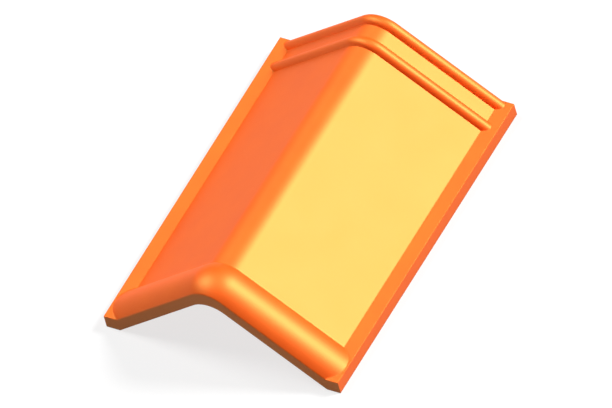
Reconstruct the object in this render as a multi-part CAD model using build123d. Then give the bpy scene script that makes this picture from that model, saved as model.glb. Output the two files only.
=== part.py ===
from build123d import *
import os
from math import cos, radians, sin, tan

# Angular ridge tile of fired clay, pressed in one piece.
# X runs across the tile, Y along the ridge from the head at -Y to the tail at +Y, and Z is up.
# The origin is under the middle of the tile, on the level that its two flanges rest on.

# Driving dimensions in millimetres and degrees
TILE_LENGTH = 400.0
TILE_WIDTH = 282.0
RIDGE_ANGLE = 104.5  # between the two wings
RIDGE_RADIUS = 30.0
WALL_RISE = 17.0  # thickness of wings and flanges, measured straight up
FLANGE_WIDTH = 16.5
FLANGE_ROOT_RADIUS = 1.5  # where a wing runs into its flange
ARRIS_RADIUS = 0.5  # long outer edges of the flanges

ROLL_WIDTH = 45.5  # along the tile, from the head's end to the roll's back
ROLL_HEIGHT = 9.0
GROOVE_WIDTH = 30.0  # hollow under the roll, for the last rib of the next tile
GROOVE_DEPTH = 7.5
RIB_WIDTH = 14.0
RIB_HEIGHT = 5.0
RIBS_SPAN = 44.3  # both ribs and the gap between them, a joint's play less than the roll
TRIM = 0.4  # how far the roll and the last rib reach past the planes that the ends are cut at

# Values that follow from them
WING_SLOPE = radians((180.0 - RIDGE_ANGLE) / 2)
HALF_WIDTH = TILE_WIDTH / 2
WING_FOOT = HALF_WIDTH - FLANGE_WIDTH
WING_RISE = WING_FOOT * tan(WING_SLOPE)
HEAD = -TILE_LENGTH / 2
TAIL = TILE_LENGTH / 2
ROLL_MIDDLE = HEAD + ROLL_WIDTH / 2 - TRIM / 2
LAST_RIB_MIDDLE = TAIL - RIB_WIDTH / 2 + TRIM
FIRST_RIB_MIDDLE = TAIL - RIBS_SPAN + RIB_WIDTH / 2

BEAD_FOOT = 5.0  # how far a roll or rib is carried down into the wall under it
CUT_MARGIN = 10.0  # how far the groove's cutter stands below the underside
END_MARGIN = 1.5  # how far a bead's back is carried under the flange's surface
CLEAR = 20.0  # how far the block that cuts the ends stands clear of the tile's sides and ridge


def outline(level):
    """Corners of the upper or lower side of the section, from the left flange to the right one."""
    return [
        (-HALF_WIDTH, level),
        (-WING_FOOT, level),
        (0, level + WING_RISE),
        (WING_FOOT, level),
        (HALF_WIDTH, level),
    ]


def pressed_length():
    """The plain section, with the same outline above and below, run a little longer than the tile."""
    radii = [ARRIS_RADIUS, FLANGE_ROOT_RADIUS, RIDGE_RADIUS, FLANGE_ROOT_RADIUS, ARRIS_RADIUS]
    corners = outline(WALL_RISE) + outline(0)[::-1]
    section = make_face(FilletPolyline(*corners, radius=radii * 2, close=True))
    return extrude(Plane.XZ * section, amount=TILE_LENGTH / 2 + TRIM, both=True)


def over_the_ridge(level, middle, width, height, foot):
    """A round bead that climbs one wing, turns over the ridge and runs down the other.

    It stands height above the surface that starts at level, width wide there, and its foot goes below it.
    Each end runs straight on until its back is under the flange's surface, so the flange cuts it off
    in a round nose.
    """
    reach = (height + END_MARGIN) / tan(WING_SLOPE)
    end_x = WING_FOOT + reach * cos(WING_SLOPE)
    end_z = level - reach * sin(WING_SLOPE)
    path = FilletPolyline(
        (-end_x, 0, end_z),
        (0, 0, level + WING_RISE),
        (end_x, 0, end_z),
        radius=RIDGE_RADIUS,
    )
    radius = (width**2 / 4 + height**2) / (2 * height)
    band = Rectangle(3 * radius, height + foot, align=(Align.CENTER, Align.MAX))
    profile = Pos(middle, height - radius) * Circle(radius) & Pos(middle, height) * band
    return sweep(Plane(path @ 0, x_dir=(0, 1, 0), z_dir=path % 0) * profile, path=path)


def head_roll():
    """The broad roll that covers the joint with the next tile."""
    return over_the_ridge(WALL_RISE, ROLL_MIDDLE, ROLL_WIDTH + TRIM, ROLL_HEIGHT, BEAD_FOOT)


def head_groove():
    """The hollow under the roll, behind a front lip of full thickness."""
    return over_the_ridge(0, ROLL_MIDDLE, GROOVE_WIDTH, GROOVE_DEPTH, CUT_MARGIN)


def tail_ribs():
    """Two narrow ribs: the last one along the tail's edge, the first at the front of the lap."""
    middles = [FIRST_RIB_MIDDLE, LAST_RIB_MIDDLE]
    return [over_the_ridge(WALL_RISE, middle, RIB_WIDTH, RIB_HEIGHT, BEAD_FOOT) for middle in middles]


def cut_to_length(tile):
    """Both ends cut square across everything."""
    height = WALL_RISE + WING_RISE + ROLL_HEIGHT
    between_ends = Box(TILE_WIDTH + 2 * CLEAR, TILE_LENGTH, 2 * (height + CLEAR))
    return tile & between_ends


ridge_tile = cut_to_length(pressed_length() + head_roll() + tail_ribs() - head_groove())

os.makedirs("parts", exist_ok=True)
export_step(ridge_tile, "parts/ridge_tile.step")
print("ridge_tile", round(ridge_tile.volume), "mm3", ridge_tile.bounding_box())
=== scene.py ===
import math

import bpy
import numpy as np
from mathutils import Matrix, Vector


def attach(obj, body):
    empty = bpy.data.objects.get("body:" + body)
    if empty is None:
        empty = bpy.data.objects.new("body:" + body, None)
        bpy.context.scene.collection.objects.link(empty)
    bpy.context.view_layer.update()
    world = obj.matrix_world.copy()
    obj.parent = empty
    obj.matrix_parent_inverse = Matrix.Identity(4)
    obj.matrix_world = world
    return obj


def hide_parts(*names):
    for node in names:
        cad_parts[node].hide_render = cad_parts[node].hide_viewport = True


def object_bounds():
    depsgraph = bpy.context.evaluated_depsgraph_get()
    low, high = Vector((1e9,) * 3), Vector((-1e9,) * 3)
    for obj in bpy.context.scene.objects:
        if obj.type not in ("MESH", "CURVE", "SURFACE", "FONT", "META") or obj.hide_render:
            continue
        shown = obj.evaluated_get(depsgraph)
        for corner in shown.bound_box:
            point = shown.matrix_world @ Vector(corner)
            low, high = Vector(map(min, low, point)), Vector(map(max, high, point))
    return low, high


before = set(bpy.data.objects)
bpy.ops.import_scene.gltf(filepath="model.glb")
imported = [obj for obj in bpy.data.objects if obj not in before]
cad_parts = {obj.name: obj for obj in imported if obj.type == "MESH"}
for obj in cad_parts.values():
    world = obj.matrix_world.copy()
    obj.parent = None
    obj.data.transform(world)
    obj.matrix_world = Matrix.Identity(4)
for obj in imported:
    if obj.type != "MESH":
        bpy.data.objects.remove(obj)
cad_low, cad_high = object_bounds()

# Everything is in metres, in the frame's own axes: X across the tile, Y along the ridge, Z up.
MM = 0.001

# The tile's form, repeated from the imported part
TILE_LENGTH = cad_high.y - cad_low.y
HALF_WIDTH = (cad_high.x - cad_low.x) / 2
RIDGE_ANGLE = 104.5
WING_SLOPE = math.radians((180.0 - RIDGE_ANGLE) / 2)
RIDGE_RADIUS = 30.0 * MM
WALL_RISE = 17.0 * MM
FLANGE_WIDTH = 16.5 * MM
WING_FOOT = HALF_WIDTH - FLANGE_WIDTH
ROLL_WIDTH = 45.5 * MM
ROLL_HEIGHT = 9.0 * MM
GROOVE_WIDTH = 30.0 * MM
GROOVE_DEPTH = 7.5 * MM
RIB_WIDTH = 14.0 * MM
RIB_HEIGHT = 5.0 * MM
RIBS_SPAN = 44.3 * MM
TRIM = 0.4 * MM
HEAD = cad_low.y
TAIL = cad_high.y
ROLL_MIDDLE = HEAD + ROLL_WIDTH / 2 - TRIM / 2
LAST_RIB_MIDDLE = TAIL - RIB_WIDTH / 2 + TRIM
FIRST_RIB_MIDDLE = TAIL - RIBS_SPAN + RIB_WIDTH / 2

# Softened edges and creases of the fired clay
ARRIS = 0.5 * MM
ROOT_RADIUS = 1.5 * MM
CREASE_RADIUS = 0.5 * MM

# Fineness of the surface: how far apart its lines are
ARC_STEP = math.radians(6.0)  # turn of a rib's back from line to line; the roll's back takes half of it
CREASE_STEPS = 5
ARRIS_STEPS = 4
RIDGE_STEP = 1.3 * MM
WING_STEP = 6.0 * MM
NOSE_STEP = 0.5 * MM
NOSE_MARGIN = 3.0 * MM  # how far up the wing the close lines of the noses start
LENGTH_STEP = 8.0 * MM
GAP_STEP = 3.0 * MM  # between the two ribs
SUPPORT = 0.4 * MM  # from the end of a rounding to the next line beside it
LEAST_STEP = 0.05 * MM
WALL_ROWS = 6


class Bead:
    """A round bead across the tile: how high it stands at each place along the tile."""

    def __init__(self, middle, width, height, fillet):
        self.middle = middle
        self.radius = (width**2 / 4 + height**2) / (2 * height)
        self.centre = height - self.radius
        self.fillet = fillet
        self.end = math.sqrt((self.radius + fillet) ** 2 - (fillet - self.centre) ** 2)
        self.contact = self.end * self.radius / (self.radius + fillet)

    def height(self, y):
        away = np.abs(y - self.middle)
        back = self.centre + np.sqrt(np.maximum(self.radius**2 - away**2, 0))
        gap = np.clip(self.end - away, 0, self.fillet)
        foot = self.fillet - np.sqrt(self.fillet**2 - gap**2)
        return np.where(away < self.contact, back, foot)

    def lines(self):
        """Places along the tile where the bead's surface turns by one step."""
        steep = math.asin(self.contact / self.radius)
        count = 2 * math.ceil(steep / (ARC_STEP if self.radius < RIDGE_RADIUS else ARC_STEP / 2))
        over = [self.radius * math.sin(a) for a in np.linspace(-steep, steep, count + 1)]
        turn = np.linspace(0, steep, CREASE_STEPS + 1)[1:]
        side = [self.end - self.fillet * math.sin(a) for a in turn] + [self.end, self.end + SUPPORT]
        return [self.middle + v for v in over] + [self.middle + s * v for v in side for s in (-1, 1)]


ROLL = Bead(ROLL_MIDDLE, ROLL_WIDTH + TRIM, ROLL_HEIGHT, CREASE_RADIUS)
RIBS = [Bead(m, RIB_WIDTH, RIB_HEIGHT, CREASE_RADIUS) for m in (FIRST_RIB_MIDDLE, LAST_RIB_MIDDLE)]
GROOVE = Bead(ROLL_MIDDLE, GROOVE_WIDTH, GROOVE_DEPTH, CREASE_RADIUS)


def surface(x, level, raised):
    """Height of the section's outline over x, with its wings and ridge raised square to themselves."""
    across = np.abs(x)
    sine, cosine, slope = math.sin(WING_SLOPE), math.cos(WING_SLOPE), math.tan(WING_SLOPE)
    foot = WING_FOOT + raised / sine
    wing = level + (foot - across) * slope
    radius = RIDGE_RADIUS + raised
    centre = level + WING_FOOT * slope - RIDGE_RADIUS / cosine
    ridge = centre + np.sqrt(np.maximum(radius**2 - across**2, 0))
    upper = np.where(across < radius * sine, ridge, wing)
    reach = ROOT_RADIUS * math.tan(WING_SLOPE / 2)
    turn = np.clip(foot + reach - across, 0, ROOT_RADIUS)
    root = level + ROOT_RADIUS - np.sqrt(ROOT_RADIUS**2 - turn**2)
    lower = np.where(across > foot - reach * cosine, root, upper)
    return np.where(across > foot + reach, level, lower)


def spread(start, end, step):
    """Evenly spaced places from start to end, about one step apart."""
    return list(np.linspace(start, end, max(2, math.ceil(abs(end - start) / step) + 1)))


def clean(places, low, high):
    """The places in order, inside low and high, with those that fall too close together left out."""
    kept = [low]
    for place in sorted(places):
        if place - kept[-1] > LEAST_STEP and high - place > LEAST_STEP:
            kept.append(place)
    return np.array(kept + [high])


def arris_lines():
    """Distances from an edge where its rounding turns by one step."""
    turn = np.linspace(0, math.pi / 2, ARRIS_STEPS + 1)[:-1]
    return [ARRIS * (1 - math.sin(a)) for a in turn] + [ARRIS + SUPPORT]


def lines_across():
    """Places across the tile: close together over the ridge, the noses and the edges."""
    ridge_end = (RIDGE_RADIUS + ROLL_HEIGHT) * math.sin(WING_SLOPE)
    noses_start = WING_FOOT - NOSE_MARGIN
    half = spread(0, ridge_end, RIDGE_STEP)
    half += spread(ridge_end, noses_start, WING_STEP)
    half += spread(noses_start, HALF_WIDTH - ARRIS - SUPPORT, NOSE_STEP)
    half += [HALF_WIDTH - d for d in arris_lines()]
    both = half + [-v for v in half]
    return clean(both, -HALF_WIDTH, HALF_WIDTH)


def lines_along():
    """Places along the tile: close together over the roll, the ribs and the cut ends."""
    first, last = RIBS
    places = spread(ROLL.middle + ROLL.end + SUPPORT, first.middle - first.end - SUPPORT, LENGTH_STEP)
    for bead in [ROLL, GROOVE] + RIBS:
        places += bead.lines()
    places += spread(first.middle + first.end + SUPPORT, last.middle - last.end - SUPPORT, GAP_STEP)
    places += [HEAD + d for d in arris_lines()] + [TAIL - d for d in arris_lines()]
    return clean(places, HEAD, TAIL)


def tile_mesh():
    """The whole tile as one closed skin: an upper and a lower sheet on one grid, and walls between."""
    grid_x, grid_y = np.meshgrid(lines_across(), lines_along())
    inset_x = np.maximum(ARRIS - (HALF_WIDTH - np.abs(grid_x)), 0)
    inset_y = np.maximum(ARRIS - np.minimum(grid_y - HEAD, TAIL - grid_y), 0)
    length = np.hypot(inset_x, inset_y)
    round_in = np.maximum(inset_x, inset_y) / np.where(length > 0, length, 1)
    both = (inset_x > 0) & (inset_y > 0)
    shrink = np.where(both, round_in, 1)
    x = grid_x - np.sign(grid_x) * inset_x * (1 - shrink)
    y = grid_y - np.sign(grid_y) * inset_y * (1 - shrink)
    edge = np.minimum(length * shrink, ARRIS)
    drop = ARRIS - np.sqrt(ARRIS**2 - edge**2)
    beads = np.max([bead.height(y) for bead in [ROLL] + RIBS], axis=0)
    top = surface(x, WALL_RISE, beads) - drop
    bottom = surface(x, 0.0, GROOVE.height(y)) + drop

    rows, columns = x.shape
    points = [np.stack([x, y, z], axis=-1).reshape(-1, 3) for z in (top, bottom)]
    index = np.arange(rows * columns).reshape(rows, columns)
    a, b, c, d = index[:-1, :-1], index[:-1, 1:], index[1:, 1:], index[1:, :-1]
    upper = np.stack([a, b, c, d], axis=-1).reshape(-1, 4)
    lower = np.stack([a, d, c, b], axis=-1).reshape(-1, 4) + rows * columns
    rim = np.concatenate([index[0, :-1], index[:-1, -1], index[-1, :0:-1], index[:0:-1, 0]])
    high, low = points[0][rim], points[1][rim]
    shares = np.arange(1, WALL_ROWS) / WALL_ROWS
    walls = [high + (low - high) * s for s in shares]
    first = 2 * rows * columns
    rings = [rim] + [first + i * len(rim) + np.arange(len(rim)) for i in range(len(walls))]
    rings.append(rim + rows * columns)
    faces = [upper, lower]
    for over, under in zip(rings, rings[1:]):
        faces.append(np.stack([over, under, np.roll(under, -1), np.roll(over, -1)], axis=-1))
    mesh = bpy.data.meshes.new("tile_skin")
    mesh.from_pydata(np.concatenate(points + walls).tolist(), [], np.concatenate(faces).tolist())
    mesh.validate()
    mesh.shade_smooth()
    return mesh


# Looks of the fired clay: its colour and roughness drift in patches, and a fine grain roughens it
CLAY_DEEP = (0.93, 0.071, 0.0010, 1)
CLAY_PALE = (0.97, 0.089, 0.0016, 1)
ROUGHNESS = (0.54, 0.555)
MOTTLE = (40 * MM, 4, 0.55)  # size of the patches, then the noise's detail and roughness
GRAIN = (1.6 * MM, 3, 0.6)
GRAIN_DEPTH = 0.12 * MM
GRAIN_STRENGTH = 0.5
NOISE_MIDDLE = (0.3, 0.7)  # the range that a noise mostly keeps to
SHEEN_TINT = (1.0, 0.82, 0.22, 1)
SHEEN_IOR = 1.8
SHEEN_LEVEL = 1.0


def clay_material():
    """Satin orange clay with a broad golden sheen, faintly mottled and finely grained."""
    material = bpy.data.materials.new("tile_clay")
    material.use_nodes = True
    nodes, links = material.node_tree.nodes, material.node_tree.links
    shader = nodes["Principled BSDF"]
    shader.inputs["IOR"].default_value = SHEEN_IOR
    shader.inputs["Specular IOR Level"].default_value = SHEEN_LEVEL
    shader.inputs["Specular Tint"].default_value = SHEEN_TINT
    place = nodes.new("ShaderNodeTexCoord")

    def noise(size, detail, roughness):
        """A noise whose patches are about size metres across."""
        node = nodes.new("ShaderNodeTexNoise")
        node.inputs["Scale"].default_value = 1 / size
        node.inputs["Detail"].default_value = detail
        node.inputs["Roughness"].default_value = roughness
        links.new(place.outputs["Object"], node.inputs["Vector"])
        return node.outputs["Fac"]

    def spread_to(value, low, high):
        """The middle range of a noise, taken to low and high."""
        node = nodes.new("ShaderNodeMapRange")
        node.inputs["From Min"].default_value = NOISE_MIDDLE[0]
        node.inputs["From Max"].default_value = NOISE_MIDDLE[1]
        node.inputs["To Min"].default_value = low
        node.inputs["To Max"].default_value = high
        links.new(value, node.inputs["Value"])
        return node.outputs["Result"]

    def blend(share, first, second):
        """The first colour where share is 0 and the second where it is 1."""
        node = nodes.new("ShaderNodeMix")
        node.data_type = "RGBA"
        links.new(share, node.inputs["Factor"])
        node.inputs["A"].default_value = first
        node.inputs["B"].default_value = second
        return node.outputs["Result"]

    mottle = noise(*MOTTLE)
    grain = noise(*GRAIN)
    links.new(blend(spread_to(mottle, 0, 1), CLAY_DEEP, CLAY_PALE), shader.inputs["Base Color"])
    links.new(spread_to(mottle, *ROUGHNESS), shader.inputs["Roughness"])
    bump = nodes.new("ShaderNodeBump")
    bump.inputs["Strength"].default_value = GRAIN_STRENGTH
    bump.inputs["Distance"].default_value = GRAIN_DEPTH
    links.new(grain, bump.inputs["Height"])
    links.new(bump.outputs["Normal"], shader.inputs["Normal"])
    return material


def make_tile():
    """The visible tile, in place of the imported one."""
    tile = bpy.data.objects.new("tile_skin", tile_mesh())
    bpy.context.scene.collection.objects.link(tile)
    tile.data.materials.append(clay_material())
    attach(tile, "root")
    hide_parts("ridge_tile")


# Camera: the photograph has no perspective, so its view is three directions, a scale and a middle.
# The middle lies so many metres to the right of and above the point under the ridge at the head.
PHOTO_WIDTH = 612
PIXELS_PER_METRE = 958.1
VIEW_RIGHT = Vector((0.86682, 0.46108, -0.18981))
VIEW_UP = Vector((-0.24787, 0.72877, 0.63832))
VIEW_BACK = Vector((0.43265, -0.50626, 0.74600))
FRONT_MIDDLE_TO_CENTRE = (0.0860, 0.1629)
CAMERA_DISTANCE = 2.0


def make_camera():
    """The photograph's view, without perspective."""
    data = bpy.data.cameras.new("camera")
    data.type = "ORTHO"
    data.ortho_scale = PHOTO_WIDTH / PIXELS_PER_METRE
    camera = bpy.data.objects.new("camera", data)
    bpy.context.scene.collection.objects.link(camera)
    right, up = FRONT_MIDDLE_TO_CENTRE
    place = Vector((0, HEAD, 0)) + VIEW_RIGHT * right + VIEW_UP * up + VIEW_BACK * CAMERA_DISTANCE
    turn = Matrix((VIEW_RIGHT, VIEW_UP, VIEW_BACK)).transposed()
    camera.matrix_world = Matrix.Translation(place) @ turn.to_4x4()
    bpy.context.scene.camera = camera


# Suns: the direction each comes from, its share of the light and how wide it is in degrees.
# A share of 1 lights a face that is square to it so that its colour renders as it is written.
LAMPS = {
    "key": ((0.575, 0.49, 0.655), 1.5, 20),
    "fill": ((-0.56, 0.0, 0.828), 0.75, 25),
}
ROOM_LIGHT = 0.01

# The floor: white to the eye and in reflections, with a pale shadow, and dark to the light it throws back.
# GLOW is the part of its white that no shadow takes away, and PALE is the part that shows the lamps.
FLOOR_HALF = 20.0
FLOOR_DEPTH = 1.0
FLOOR_GLOW = 0.75
FLOOR_PALE = 0.22
UNDER_GLOW = 1.0
UNDER_PALE = 0.0
FLOOR_THROWN = 0.03


def make_lamps():
    """Two soft suns: the key from the right over the tail, and the fill from the left."""
    for name, (direction, share, angle) in LAMPS.items():
        data = bpy.data.lights.new(name, "SUN")
        data.energy = math.pi * share
        data.angle = math.radians(angle)
        lamp = bpy.data.objects.new(name, data)
        lamp.rotation_mode = "QUATERNION"
        lamp.rotation_quaternion = Vector(direction).to_track_quat("Z", "Y")
        bpy.context.scene.collection.objects.link(lamp)


def seen_rays(nodes, links):
    """1 for rays from the camera and for rays by gloss or glass, and 0 for diffuse light."""
    path = nodes.new("ShaderNodeLightPath")
    total = path.outputs["Is Camera Ray"]
    for kind in ("Is Glossy Ray", "Is Transmission Ray"):
        add = nodes.new("ShaderNodeMath")
        add.operation = "MAXIMUM"
        links.new(total, add.inputs[0])
        links.new(path.outputs[kind], add.inputs[1])
        total = add.outputs["Value"]
    return total


def make_world():
    """A faint even light from all around."""
    world = bpy.data.worlds.new("studio")
    bpy.context.scene.world = world
    world.use_nodes = True
    room = world.node_tree.nodes["Background"]
    room.inputs["Color"].default_value = (1, 1, 1, 1)
    room.inputs["Strength"].default_value = ROOM_LIGHT


def white_material(name, glow_strength, albedo):
    """White to the eye and in reflections: some of it glows, and the rest shows the lamps and the shadow."""
    material = bpy.data.materials.new(name)
    material.use_nodes = True
    nodes, links = material.node_tree.nodes, material.node_tree.links
    nodes.remove(nodes["Principled BSDF"])

    def matt(grey):
        node = nodes.new("ShaderNodeBsdfDiffuse")
        node.inputs["Color"].default_value = (grey, grey, grey, 1)
        return node.outputs["BSDF"]

    glow = nodes.new("ShaderNodeEmission")
    glow.inputs["Strength"].default_value = glow_strength
    seen = nodes.new("ShaderNodeAddShader")
    links.new(glow.outputs["Emission"], seen.inputs[0])
    links.new(matt(albedo), seen.inputs[1])
    mix = nodes.new("ShaderNodeMixShader")
    links.new(seen_rays(nodes, links), mix.inputs["Fac"])
    links.new(matt(FLOOR_THROWN), mix.inputs[1])
    links.new(seen.outputs["Shader"], mix.inputs[2])
    links.new(mix.outputs["Shader"], nodes["Material Output"].inputs["Surface"])
    return material


def make_floor():
    """The floor, and a second sheet far under it that stands behind the tile in views from low down."""
    mesh = bpy.data.meshes.new("floor")
    around = ((-1, -1), (1, -1), (1, 1), (-1, 1))
    corners = [(x * FLOOR_HALF, y * FLOOR_HALF, z) for z in (0, -FLOOR_DEPTH) for x, y in around]
    mesh.from_pydata(corners, [], [(0, 1, 2, 3), (4, 5, 6, 7)])
    mesh.materials.append(white_material("floor_white", FLOOR_GLOW, FLOOR_PALE))
    mesh.materials.append(white_material("under_white", UNDER_GLOW, UNDER_PALE))
    mesh.polygons[1].material_index = 1
    floor = bpy.data.objects.new("floor", mesh)
    bpy.context.scene.collection.objects.link(floor)


make_tile()
make_camera()
make_lamps()
make_world()
make_floor()

bpy.context.scene.view_settings.view_transform = "Standard"
